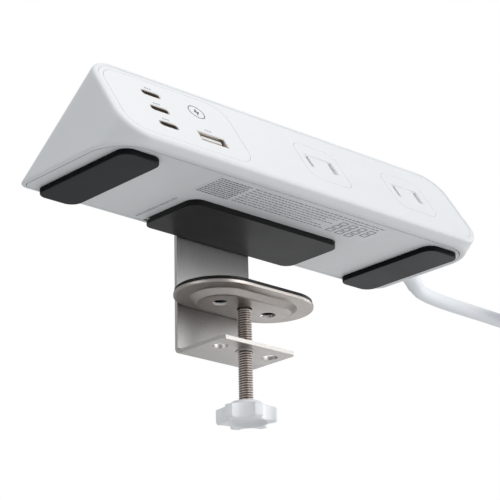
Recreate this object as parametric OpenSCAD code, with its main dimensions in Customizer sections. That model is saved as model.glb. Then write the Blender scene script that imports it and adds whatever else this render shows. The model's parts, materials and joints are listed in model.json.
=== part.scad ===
// Desk-edge power strip: a wedge-shaped housing with mains and USB outlets on its
// sloped front, held on a table edge by a screw clamp under it.
// Origin: the clamp screw's axis where it meets the lower face of the upper clamp
// pad, which is the plane of the desk top. +X runs along the strip to the cord's
// end, +Y to the back of the strip, +Z up.

/* [Housing] */
// Width of the housing at its base
base_w = 198; // [190:1:210]
// Front edge of the base, along Y
base_front = -41.7; // [-44:0.1:-40]
// Back edge of the base, along Y
base_back = 19.3; // [18.8:0.1:21]
// Height of the base's lower face over the desk
base_z = 2.4; // [2.2:0.1:2.8]
// Width of the sloped front face
panel_w = 194.5; // [188:0.5:200]
// Length of the sloped front face, measured up the slope
panel_h = 46.1; // [44:0.1:50]
// Slope of the front face from the horizontal
panel_tilt = 57.05; // [54:0.05:60]
// Corner radius of the sloped front face
panel_r = 13; // [9:0.5:15]
// Wall thickness of the housing
wall = 2.1; // [1.8:0.1:2.4]
// Width of the rim around the inset front panel
rim = 2.4; // [2:0.1:3]

/* [Outlets] */
// Distance between the two blade slots of a mains outlet
blade_pitch = 12.7; // [12.5:0.1:12.9]
// Centre of the left mains outlet along X
outlet_x1 = 13.7; // [12:0.1:16]
// Centre of the right mains outlet along X
outlet_x2 = 64.2; // [60:0.1:67]
// Height of the mains outlets up the slope
outlet_v = 23.2; // [21:0.1:24.5]
// Side of an outlet's inset face
outlet_side = 23.4; // [22:0.2:28]
// Centre of the column of small USB ports along X
usb_c_x = -70.8; // [-74:0.1:-66]
// Centre of the large USB port along X
usb_a_x = -49; // [-52:0.1:-47]
// Sideways travel of an outlet's shutter
shutter_travel = 3.2; // [3:0.1:3.4]

/* [Clamp] */
// Width of the bracket's back plate
back_plate_w = 39.2; // [36:0.1:46]
// Thickness of the bracket's steel sheet
sheet = 1.6; // [1.2:0.1:1.8]
// Depth of the lower flange's underside below the desk plane
flange_z = -49.4; // [-56:0.1:-47]
// Distance between the two flange holes
flange_hole_pitch = 26.4; // [24:0.1:30]
// Diameter of the two flange holes
flange_hole_d = 6.4; // [5:0.1:7]
// Top of the pressure pad below the desk plane
jaw_gap = 26.15; // [24:0.05:27]
// Length of the pressure plate
plate_l = 63.4; // [58:0.1:70]
// Width of the pressure plate
plate_w = 35.9; // [34:0.1:36.2]
// Radius of the clamp screw
screw_r = 2.95; // [2.9:0.01:2.97]
// Tip radius of the knob's lobes
knob_r = 12.1; // [11:0.1:14]

/* [Cord] */
// Diameter of the mains cord
cord_d = 6.4; // [6:0.1:6.6]
// Radius of the coil's middle turn
coil_r = 35.9; // [34:0.1:37]

/* [Hidden] */
$fn = 64;

white = [0.93, 0.94, 0.95];
black = [0.12, 0.12, 0.13];
steel = [0.66, 0.64, 0.61];
brass = [0.80, 0.64, 0.30];

panel_y0 = -45.7;                    // lower edge of the sloped face
panel_z0 = 4.8;
base_rf = 17;                        // plan radii of the base's corners
base_rb = 5;
cover_t = 2;                         // bottom cover thickness
face_t = 1.8;                        // front panel thickness
face_sink = 0.25;                    // how far the front panel lies below the rim
pocket = face_sink + face_t;         // depth of the ledge that carries it
face_wall = 3.6;                     // housing thickness behind the sloped face
pad_t = 1.5;                         // upper clamp pad thickness
plate_top = pad_t + sheet;           // top of the bracket's upper plate
back_y = 18.3;                       // front face of the bracket's back plate
bend = 0.9;                          // inner radius of the bracket's bends
screw_xy = [[-30, -8], [30, -8], [-30, 6], [30, 6]];
post_xy = [[-86, -28], [86, -28], [-86, 4], [86, -10]];
exit_p = [98, 2, 7.5];               // middle of the cord's way out of the end wall
exit_d = [20, 10, -7] / norm([20, 10, -7]);
boot_l = 12.5;
boot_end = exit_p + [2.6, 0, 0] + boot_l * exit_d;
coil_c = [205, -30.6, 0];
coil_out = coil_r + 1.8 * cord_d;    // outermost turn
coil_in = coil_r - 1.8 * cord_d;     // innermost turn

// the cord's route on the desk, from the boot to the outermost turn of the coil
route = [boot_end, [116.5, 9.8, 3.25], [121.4, 11.2, 3.2], [128, 12.6, 3.2], [138, 13.7, 3.2],
    [153, 14.4, 3.2], [168, 14.9, 3.2], [180, 15.6, 3.2], [192, 16.2, 3.2], [205, 16.4, 3.2]];
// from the last turn of the coil down to the plug
tail = [[205, -78.5, 9.6], [197, -78.7, 9.1], [189, -78.9, 7.8], [181, -79, 6.9], [173, -79, 6.8]];

function unit(v) = v / norm(v);
function along(P, i) = unit(P[min(i + 1, len(P) - 1)] - P[max(i - 1, 0)]);
function spoke(P, i, r, n) = let (t = along(P, i), s = unit(cross(t, [0, 0, 1])), u = cross(s, t))
    [for (k = [0:n - 1]) P[i] + r * (cos(360 * (k + 0.5) / n) * s + sin(360 * (k + 0.5) / n) * u)];
function bent(a, b, c, d, t) = 0.5 * (2 * b + (c - a) * t + (2 * a - 5 * b + 4 * c - d) * t * t
    + (3 * b - a - 3 * c + d) * t * t * t);
function smooth(P, k) = [for (i = [0:len(P) - 2]) for (j = [0:k - 1])
        bent(P[max(i - 1, 0)], P[i], P[i + 1], P[min(i + 2, len(P) - 1)], j / k), P[len(P) - 1]];

// a round tube swept along points
module sweep(P, r, n) {
    m = len(P);
    polyhedron(
        points = [for (i = [0:m - 1]) each spoke(P, i, r, n)],
        faces = concat(
            [[for (k = [0:n - 1]) k]],
            [for (i = [0:m - 2]) for (k = [0:n - 1])
                [i * n + (k + 1) % n, i * n + k, (i + 1) * n + k, (i + 1) * n + (k + 1) % n]],
            [[for (k = [n - 1:-1:0]) (m - 1) * n + k]]));
}

// a rectangle with its own front (low Y) and back corner radii
module rounded(x0, y0, x1, y1, ra, rb) {
    union() {
        translate([x0 + ra, y0]) square([x1 - x0 - 2 * ra, ra]);
        translate([x0, y0 + ra]) square([x1 - x0, y1 - y0 - ra - rb]);
        translate([x0 + rb, y1 - rb]) square([x1 - x0 - 2 * rb, rb]);
        for (x = [x0 + ra, x1 - ra]) translate([x, y0 + ra]) circle(r = ra);
        for (x = [x0 + rb, x1 - rb]) translate([x, y1 - rb]) circle(r = rb);
    }
}

// places children on the sloped face: x along it, y up it, z out of it
module on_panel() {
    translate([0, panel_y0, panel_z0]) rotate([panel_tilt, 0, 0]) children();
}

module base_shape(inset) {
    rounded(-base_w / 2 + inset, base_front + inset, base_w / 2 - inset, base_back - inset,
        base_rf - inset, base_rb - min(inset, 3));
}

module panel_shape(inset) {
    rounded(-panel_w / 2 + inset, inset, panel_w / 2 - inset, panel_h - inset,
        panel_r - inset, panel_r - inset);
}

// the wedge between the sloped face and the base
module wedge(side, face) {
    hull() {
        on_panel() translate([0, 0, -face - 0.8]) linear_extrude(0.8) panel_shape(side, $fn = 40);
        translate([0, 0, base_z - (side > 0 ? 1 : 0)]) linear_extrude(0.8 + (side > 0 ? 1 : 0))
            base_shape(side, $fn = 40);
    }
}

module stadium(l, w, h) {
    translate([-(l - w) / 2, -w / 2, 0]) cube([l - w, w, h]);
    for (s = [-1, 1]) translate([s * (l - w) / 2, 0, 0]) cylinder(r = w / 2, h = h);
}

// a stadium whose sides slope, from half width ra below to rb above
module dish(c, ra, rb, h) {
    rotate([90, 0, 90]) translate([0, 0, -c / 2]) linear_extrude(c)
        polygon([[-ra, 0], [ra, 0], [rb, h], [-rb, h]]);
    for (s = [-1, 1]) translate([s * c / 2, 0, 0]) cylinder(r1 = ra, r2 = rb, h = h);
}

module usb_cutout() {
    translate([-panel_w / 2 + rim + 2, rim + 1.9]) rounded(0, 0, panel_w / 2 - rim - 2 - 31.1,
        panel_h - 2 * rim - 3.8, 9, 9);
}

module outlet_outline(x, g) {
    s = outlet_side / 2 - g;
    rounded(x + 0.4 - s, outlet_v - 0.4 - s, x + 0.4 + s, outlet_v - 0.4 + s, 5 - g, 5 - g);
}

module upper_housing() {
    color(white) {
        difference() {
            wedge(0, 0);
            wedge(wall, face_wall);
            on_panel() translate([0, 0, -pocket]) linear_extrude(4) panel_shape(rim);
            on_panel() translate([0, 0, -8]) linear_extrude(9) panel_shape(rim + 2);
            translate([90, exit_p[1], exit_p[2]]) rotate([0, 90, 0]) cylinder(r = 4.6, h = 14);
            translate([-back_plate_w / 2 - 0.4, 15, 0]) cube([back_plate_w + 0.8, 10, plate_top + 0.2]);
        }
        // posts that take the cover's screws, tied to the end walls by ribs
        for (p = post_xy) difference() {
            h = p[1] > 0 ? 8.6 : 11;
            union() {
                translate([p[0], p[1], base_z + cover_t]) cylinder(r = 3.4, h = h - base_z - cover_t);
                translate([p[0] > 0 ? p[0] : -97, p[1] - 1, base_z + cover_t])
                    cube([97 - abs(p[0]), 2, h - base_z - cover_t - 1]);
            }
            translate([p[0], p[1], base_z + 1]) cylinder(r = 1.3, h = h - base_z - 2);
        }
    }
}

module bottom_cover() {
    color(white) difference() {
        union() {
            intersection() {
                translate([0, 0, base_z]) linear_extrude(cover_t) base_shape(wall + 0.3);
                wedge(wall + 0.3, face_wall + 0.3);
            }
            for (p = screw_xy) translate([p[0], p[1], base_z + cover_t - 0.5]) cylinder(r = 4, h = 2.3);
            for (x = [-76, -14]) for (y = [-20, -2])
                translate([x, y, base_z + cover_t - 0.5]) cylinder(r = 2.6, h = 4.1);
        }
        // recess for the clamp bracket's upper plate
        translate([0, 0, base_z - 1]) linear_extrude(plate_top - base_z + 1)
            rounded(-38.7, -14.9, 41.3, 25, 5.3, 0.5);
        for (p = screw_xy) translate([p[0], p[1], 0]) cylinder(r = 1.95, h = 12);
        for (x = [-76, -14]) for (y = [-20, -2]) translate([x, y, 4.4]) cylinder(r = 1.05, h = 6);
        for (p = post_xy) {
            translate([p[0], p[1], base_z - 1]) cylinder(r = 1.7, h = 6);
            translate([p[0], p[1], base_z - 1]) cylinder(r = 3.2, h = 1.9);
        }
        translate([90, exit_p[1], exit_p[2]]) rotate([0, 90, 0]) cylinder(r = 4.8, h = 14);
    }
}

module face_panel() {
    color(white) on_panel() difference() {
        translate([0, 0, -pocket]) linear_extrude(face_t) panel_shape(rim + 0.15);
        translate([0, 0, -5]) linear_extrude(8) usb_cutout();
        for (x = [outlet_x1, outlet_x2]) translate([0, 0, -5]) linear_extrude(8) outlet_outline(x, -0.12);
    }
}

module port_c(w, h, t) { rotate([0, 0, 0]) stadium(w, h, t); }

module usb_panel() {
    color(white) on_panel() difference() {
        translate([0, 0, -pocket]) linear_extrude(face_t) offset_in(0.12);
        for (v = [33, 23.2, 13.4]) translate([usb_c_x, v, -5]) stadium(9.3, 3.6, 8);
        translate([usb_a_x - 6.75, 13.6 - 3, -5]) cube([13.5, 6, 8]);
    }
}

module offset_in(g) {
    translate([-panel_w / 2 + rim + 2 + g, rim + 1.9 + g]) rounded(0, 0, panel_w / 2 - rim - 2 - 31.1 - 2 * g,
        panel_h - 2 * rim - 3.8 - 2 * g, 9 - g, 9 - g);
}

module outlet_face(x) {
    color(white) on_panel() difference() {
        translate([0, 0, -pocket]) linear_extrude(face_t) outlet_outline(x, 0);
        for (s = [-1, 1]) translate([x + s * blade_pitch / 2 - 1, outlet_v - 3.7, -5]) cube([2, 7.4, 8]);
        translate([x - blade_pitch / 2 - 1.4, outlet_v - 4.2, -face_sink - 0.3]) cube([blade_pitch + 2.8, 8.4, 2]);
    }
}
module outlet_face_left() { outlet_face(outlet_x1); }
module outlet_face_right() { outlet_face(outlet_x2); }

// a sliding plate with two windows that line up with the slots when it is pushed aside
module shutter(x) {
    color(white) on_panel() difference() {
        translate([x - 10.6, outlet_v - 5.2, -pocket - 1.7]) cube([19, 10.4, 1.4]);
        for (s = [-1, 1]) translate([x + s * blade_pitch / 2 - 1.2 - shutter_travel, outlet_v - 3.9, -pocket - 3])
            cube([2.4, 8, 4]);
    }
}
module shutter_left() { shutter(outlet_x1); }
module shutter_right() { shutter(outlet_x2); }

// a brass strip along the outlets with a pair of spring leaves at each slot
module busbar(side, v) {
    color(brass) on_panel() {
        translate([outlet_x1 - 9, v - 1.5, -17.2]) cube([outlet_x2 - outlet_x1 + 20, 3, 0.8]);
        for (x = [outlet_x1, outlet_x2]) {
            cx = x + side * blade_pitch / 2;
            translate([cx - 1.8, min(v, outlet_v) - 1.4, -17.2]) cube([3.6, abs(v - outlet_v) + 2.8, 0.8]);
            for (s = [-1, 1]) translate([cx + s * 1.4 - 0.25, outlet_v - 2.6, -16.8]) cube([0.5, 5.2, 10.6]);
        }
    }
}
module live_busbar() { busbar(1, outlet_v + 7); }
module neutral_busbar() { busbar(-1, outlet_v - 5.4); }

module contact_holder() {
    color([0.86, 0.87, 0.86]) on_panel() difference() {
        union() {
            translate([outlet_x1 - 12, outlet_v - 7.2, -18.8]) cube([outlet_x2 - outlet_x1 + 26, 18, 1.6]);
            for (x = [outlet_x1 - 12, (outlet_x1 + outlet_x2) / 2 - 1, outlet_x2 + 12])
                translate([x, outlet_v + 9.4, -18.8]) cube([2, 1.4, 18.8 - pocket]);
        }
        for (x = [outlet_x1, outlet_x2]) for (s = [-1, 1])
            translate([x + s * blade_pitch / 2, outlet_v, -20]) cylinder(r = 1.5, h = 4);
    }
}

module usb_board() {
    color([0.10, 0.35, 0.20]) on_panel() translate([-81, 9.6, -12.8]) cube([44, 27, 1.6]);
}

module charger_board() {
    color([0.10, 0.35, 0.20]) difference() {
        translate([-80, -24, 8]) cube([70, 25, 1.6]);
        for (x = [-76, -14]) for (y = [-20, -2]) translate([x, y, 7]) cylinder(r = 1.4, h = 4);
    }
}

module transformer() {
    color([0.85, 0.75, 0.25]) {
        translate([-58, -17, 9.6]) cube([16, 12, 1.6]);
        translate([-56, -15.5, 11.2]) cube([12, 9, 6.8]);
        translate([-58, -17, 18]) cube([16, 12, 1.6]);
    }
}

module capacitors() {
    color([0.15, 0.18, 0.30]) {
        translate([-30, -14, 9.6]) cylinder(r = 5, h = 13);
        translate([-20, -13.5, 9.6]) cylinder(r = 4, h = 12);
        translate([-68, -14, 9.6]) cylinder(r = 4, h = 11);
    }
}

module board_screws() {
    color(steel) for (x = [-76, -14]) for (y = [-20, -2]) translate([x, y, 0]) {
        translate([0, 0, 9.6]) cylinder(r = 2.3, h = 1.3);
        translate([0, 0, 4.8]) cylinder(r = 1, h = 5);
    }
}

module usb_c_receptacles() {
    color(steel) on_panel() for (v = [33, 23.2, 13.4]) translate([usb_c_x, v, 0]) difference() {
        translate([0, 0, -11.2]) stadium(8.94, 3.26, 11.1 - face_sink);
        translate([0, 0, -10.2]) stadium(8.34, 2.66, 12);
    }
}

module usb_c_tongues() {
    color(black) on_panel() for (v = [33, 23.2, 13.4]) translate([usb_c_x, v, 0]) {
        translate([-3.35, -0.35, -10.2]) cube([6.7, 0.7, 9.2]);
    }
}

module usb_a_receptacle() {
    color(steel) on_panel() translate([usb_a_x, 13.6, 0]) difference() {
        translate([-6.55, -2.8, -11.2]) cube([13.1, 5.6, 11.1 - face_sink]);
        translate([-6.25, -2.5, -10.6]) cube([12.5, 5, 12]);
    }
}

module usb_a_tongue() {
    color(white) on_panel() translate([usb_a_x, 13.6, 0])
        translate([-5.55, 0.1, -10.6]) cube([11.1, 1.9, 9.6]);
}

module internal_leads() {
    // from the cord to the two busbars
    color([0.2, 0.2, 0.2]) sweep(smooth([[86, 0.8, 8], [84, -1, 9.4], [82.5, -5, 13], [81.5, -10, 17], [81, -15, 19.5]], 3), 1.1, 8);
    color([0.9, 0.9, 0.9]) sweep(smooth([[86, 3.4, 8], [81, 2, 8], [78, -4, 8], [78.5, -11, 8.6], [80, -17, 9.4], [81, -22, 9.5]], 3), 1.1, 8);
    // from the busbars to the charger board
    color([0.2, 0.2, 0.2]) sweep(smooth([[1, -15.5, 19.8], [-4, -14, 16], [-9, -12.5, 12], [-12, -12, 11]], 3), 1.1, 8);
    color([0.9, 0.9, 0.9]) sweep(smooth([[1, -22.4, 9.7], [-3, -21, 10.4], [-7, -19.5, 11], [-10.5, -18, 11.2]], 3), 1.1, 8);
}

module cord_clamp() {
    color([0.80, 0.81, 0.82]) difference() {
        translate([87, -4.4, 4.4]) cube([3, 12.2, 6.5]);
        translate([80, exit_p[1], exit_p[2]]) rotate([0, 90, 0]) cylinder(r = 3.2, h = 14);
        for (y = [-2.9, 6.6]) translate([88.5, y, 4]) cylinder(r = 0.95, h = 10);
    }
}

module cord_clamp_screws() {
    color(steel) for (y = [-2.9, 6.6]) translate([88.5, y, 0]) {
        translate([0, 0, 10.9]) cylinder(r = 1.1, h = 0.7);
        translate([0, 0, 5]) cylinder(r = 0.9, h = 6);
    }
}

// tapered sleeve at the end wall, with an inner flange behind the wall
module strain_relief() {
    color(white) difference() {
        union() {
            translate([92.4, exit_p[1], exit_p[2]]) rotate([0, 90, 0]) cylinder(r = 4.5, h = 8.2);
            translate([92.4, -4, 4.6]) cube([2, 12, 6.6]);
            translate([exit_p[0] + 2.6, exit_p[1], exit_p[2]]) {
                sphere(r = 4.5);
                rotate([0, acos(exit_d[2]), atan2(exit_d[1], exit_d[0])])
                    cylinder(r1 = 4.5, r2 = 3.5, h = boot_l);
            }
        }
        translate([90, -5, 2]) cube([3.8, 14, 2.5]);
    }
}

module power_cord() {
    color(white) {
        sweep(smooth(route, 3), cord_d / 2, 10);
        sweep(smooth(tail, 2), cord_d / 2, 10);
    }
}

module cord_coil() {
    color(white) translate(coil_c) rotate_extrude($fn = 96)
        rounded(coil_in - cord_d / 2, 0, coil_out + cord_d / 2, 2 * cord_d, 3.1, 3.1);
}

// a flat hook-and-loop strap round the coil, on its side towards the right
module cord_tie() {
    color(black) translate(coil_c) translate([coil_r, 0, cord_d]) rotate([90, 0, 0])
        translate([0, 0, -5]) linear_extrude(10) difference() {
            rounded(-2.3 * cord_d - 1, -cord_d, 2.3 * cord_d + 1, cord_d + 1, 3, 3);
            rounded(-2.3 * cord_d, -cord_d - 4, 2.3 * cord_d, cord_d, 3, 3.1);
        }
}

module plug_body() {
    color(white) translate([-7, -79, 0]) {
        difference() {
            union() {
                translate([136, -8, 0.2]) cube([22, 16, 13.2]);
                translate([137, -11.5, 1.7]) cube([20, 23, 10.2]);
            }
            for (y = [-blade_pitch / 2, blade_pitch / 2]) translate([130, y - 0.8, 6.8 - 3.2]) cube([14, 1.6, 6.4]);
        }
        translate([158, 0, 6.8]) rotate([0, 90, 0]) cylinder(r1 = 5, r2 = 3.5, h = 22);
    }
}

module plug_blades() {
    color(brass) translate([-7, -79, 6.8]) for (y = [-blade_pitch / 2, blade_pitch / 2]) difference() {
        translate([119, y - 0.75, -3.15]) cube([25, 1.5, 6.3]);
        translate([122.2, y - 2, 0]) rotate([-90, 0, 0]) cylinder(r = 1.5, h = 4);
    }
}

module foot(x0) {
    color(black) translate([0, 0, 0]) linear_extrude(base_z) rounded(x0, -37.1, x0 + 18.9, 17.8, 5, 5);
}
module foot_left() { foot(-91); }
module foot_right() { foot(72.1); }

// a blank film label on the underside, in front of the clamp
module rating_label() {
    color([0.80, 0.81, 0.82]) translate([0, 0, base_z - 0.12]) linear_extrude(0.12)
        rounded(-44.5, -37.2, 48, -20.4, 1, 1);
}

module housing_screws() {
    color(steel) for (p = post_xy) translate([p[0], p[1], 0]) {
        h = p[1] > 0 ? 3.4 : 5.6;
        translate([0, 0, base_z + 0.05]) cylinder(r = 2.9, h = 0.85);
        translate([0, 0, base_z + 0.3]) cylinder(r = 1.25, h = h + 1.6);
    }
}

// one bent sheet: upper plate under the strip, back plate down the desk's edge, lower flange
module clamp_bracket() {
    y1 = back_y + sheet;
    color(steel) difference() {
        union() {
            translate([0, 0, pad_t]) linear_extrude(sheet) rounded(-38.4, -14.6, 41, back_y - 1.6, 5, 4.2);
            // the sheet's profile through both bends
            rotate([90, 0, 90]) translate([0, 0, -back_plate_w / 2]) linear_extrude(back_plate_w)
                union() {
                    translate([0, pad_t]) square([back_y - bend, sheet]);
                    translate([back_y, flange_z + sheet + bend])
                        square([sheet, pad_t - flange_z - sheet - 2 * bend]);
                    difference() {
                        translate([back_y - bend, pad_t - bend]) circle(r = bend + sheet);
                        translate([back_y - bend, pad_t - bend]) circle(r = bend);
                        translate([back_y - bend - 4, pad_t - bend - 4]) square([10, 4]);
                        translate([back_y - bend - 4, pad_t - bend - 1]) square([4, 8]);
                    }
                    difference() {
                        translate([back_y - bend, flange_z + sheet + bend]) circle(r = bend + sheet);
                        translate([back_y - bend, flange_z + sheet + bend]) circle(r = bend);
                        translate([back_y - bend - 4, flange_z + sheet + bend]) square([10, 4]);
                        translate([back_y - bend - 4, flange_z - 2]) square([4, 8]);
                    }
                }
            translate([0, 0, flange_z]) linear_extrude(sheet) polygon([
                [-back_plate_w / 2 + 1.5, -8.8], [back_plate_w / 2 - 1.5, -8.8], [back_plate_w / 2, -7.3],
                [back_plate_w / 2, back_y - bend], [-back_plate_w / 2, back_y - bend], [-back_plate_w / 2, -7.3]]);
            translate([0, 0, flange_z - 0.35]) cylinder(r = 4, h = 0.9);
        }
        for (p = screw_xy) {
            translate([p[0], p[1], 0]) cylinder(r = 2, h = 6);
            translate([p[0], p[1], pad_t - 0.01]) cylinder(r1 = 3.75, r2 = 2, h = 1.7);
        }
        translate([0, 0, flange_z - 4]) cylinder(r = 3, h = 8);
        for (s = [-1, 1]) translate([s * flange_hole_pitch / 2, 0, flange_z - 4]) cylinder(d = flange_hole_d, h = 8);
    }
}

module bracket_screws() {
    color(steel) for (p = screw_xy) translate([p[0], p[1], 0]) {
        translate([0, 0, pad_t + 0.05]) cylinder(r1 = 3.6, r2 = 1.85, h = 1.5);
        translate([0, 0, pad_t + 0.5]) cylinder(r = 1.85, h = 4);
    }
}

module bracket_pad() {
    color(black) {
        linear_extrude(pad_t) rounded(-38.65, -14.85, 41.25, back_y - bend - 0.1, 5.3, 4.5);
        translate([0, 0, pad_t - 0.1]) linear_extrude(base_z - pad_t + 0.08) difference() {
            rounded(-38.65, -14.85, 41.25, 12.5, 5.3, 0.1);
            rounded(-38.42, -14.62, 41.02, 20, 5.07, 0.1);
        }
    }
}

module pressure_plate() {
    zt = -jaw_gap - 1.45;
    color(steel) difference() {
        union() {
            translate([0, 0, zt - 1.5]) stadium(plate_l, plate_w, 1.5);
            translate([0, 0, zt - 3.9]) dish(24, 10.4, 12.4, 2.5);
        }
        translate([0, 0, zt - 2.5]) dish(24, 9.2, 11.2, 2.6);
        translate([0, 0, zt - 6]) cylinder(r = 3.1, h = 8);
        for (s = [-1, 1]) translate([s * 12.8, 0, zt - 6]) {
            cylinder(r = 2.7, h = 8);
            translate([0, 0, 2.1]) cylinder(r1 = 3.25, r2 = 2.7, h = 0.75);
        }
    }
}

module pressure_pad() {
    color(black) translate([0, 0, -jaw_gap - 1.45]) stadium(plate_l - 0.8, plate_w - 0.8, 1.45);
}

module retaining_washer() {
    color(steel) translate([0, 0, -jaw_gap - 1.45 - 2.2]) cylinder(r = 4.6, h = 0.8);
}

module clamp_screw() {
    zf = -jaw_gap - 1.45 - 3.9;
    color([0.45, 0.38, 0.34]) {
        translate([0, 0, -74]) cylinder(r = screw_r, h = zf - 0.3 + 74);
        translate([0, 0, zf - 1]) cylinder(r = 2.22, h = 2.7);
    }
}

// six lobes with a hollow curve between each two
module lobes(h) {
    linear_extrude(h) difference() {
        circle(r = knob_r - 0.05);
        for (a = [0:60:300]) rotate(a + 42) translate([knob_r + 1.79, 0]) circle(r = 5.09);
    }
}

module clamp_knob() {
    color(white) difference() {
        union() {
            translate([0, 0, -78.5]) lobes(5.5);
            intersection() {
                translate([0, 0, -73.05]) lobes(1.25);
                translate([0, 0, -73.05]) cylinder(r1 = knob_r, r2 = 7, h = 1.25);
            }
            translate([0, 0, -73.2]) cylinder(r1 = 7.25, r2 = 6.6, h = 3);
        }
        translate([0, 0, -74]) cylinder(r = screw_r, h = 8);
        translate([0, 0, -78.6]) cylinder(r = 7.6, h = 1.6);
    }
}

upper_housing();
bottom_cover();
face_panel();
usb_panel();
outlet_face_left();
outlet_face_right();
shutter_left();
shutter_right();
live_busbar();
neutral_busbar();
contact_holder();
usb_board();
charger_board();
transformer();
capacitors();
board_screws();
usb_c_receptacles();
usb_c_tongues();
usb_a_receptacle();
usb_a_tongue();
internal_leads();
cord_clamp();
cord_clamp_screws();
strain_relief();
power_cord();
cord_coil();
cord_tie();
plug_body();
plug_blades();
foot_left();
foot_right();
rating_label();
housing_screws();
clamp_bracket();
bracket_screws();
bracket_pad();
pressure_plate();
pressure_pad();
retaining_washer();
clamp_screw();
clamp_knob();
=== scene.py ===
import json
import math

import bmesh
import bpy
import numpy as np
from mathutils import Matrix, Vector

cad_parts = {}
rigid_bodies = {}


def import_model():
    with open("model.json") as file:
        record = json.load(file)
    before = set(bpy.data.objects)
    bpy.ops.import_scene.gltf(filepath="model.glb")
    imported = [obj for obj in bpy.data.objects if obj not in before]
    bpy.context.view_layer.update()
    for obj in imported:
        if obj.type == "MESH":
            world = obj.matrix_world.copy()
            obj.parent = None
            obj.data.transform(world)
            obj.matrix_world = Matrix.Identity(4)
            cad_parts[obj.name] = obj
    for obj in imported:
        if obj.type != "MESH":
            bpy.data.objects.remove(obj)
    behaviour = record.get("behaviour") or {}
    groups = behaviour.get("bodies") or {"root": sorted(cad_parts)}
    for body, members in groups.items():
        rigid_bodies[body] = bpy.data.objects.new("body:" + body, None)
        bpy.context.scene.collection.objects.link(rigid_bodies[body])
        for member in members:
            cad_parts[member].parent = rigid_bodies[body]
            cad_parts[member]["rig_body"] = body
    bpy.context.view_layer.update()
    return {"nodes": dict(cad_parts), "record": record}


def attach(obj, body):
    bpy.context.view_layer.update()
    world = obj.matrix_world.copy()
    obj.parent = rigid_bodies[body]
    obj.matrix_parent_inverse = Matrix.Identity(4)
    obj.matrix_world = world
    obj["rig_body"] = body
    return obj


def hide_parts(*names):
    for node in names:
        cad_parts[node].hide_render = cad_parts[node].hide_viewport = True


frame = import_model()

scene = bpy.context.scene
NODES = frame["nodes"]
MM = 0.001


# ------------------------------------------------------------------ camera
def make_camera():
    data = bpy.data.cameras.new("camera")
    data.sensor_width = 36.0
    data.lens = 133.07
    data.clip_start = 0.02
    data.clip_end = 60.0
    cam = bpy.data.objects.new("camera", data)
    right = Vector((0.739642, -0.672652, -0.021490)).normalized()
    fwd = Vector((0.637684, 0.690268, 0.341884)).normalized()
    up = right.cross(fwd).normalized()
    right = fwd.cross(up).normalized()
    back = -fwd
    m = Matrix.Identity(4)
    for i in range(3):
        m[i][0], m[i][1], m[i][2] = right[i], up[i], back[i]
    m[0][3], m[1][3], m[2][3] = -0.47531, -0.51866, -0.26234
    cam.matrix_world = m
    scene.collection.objects.link(cam)
    scene.camera = cam
    return cam


make_camera()


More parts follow.
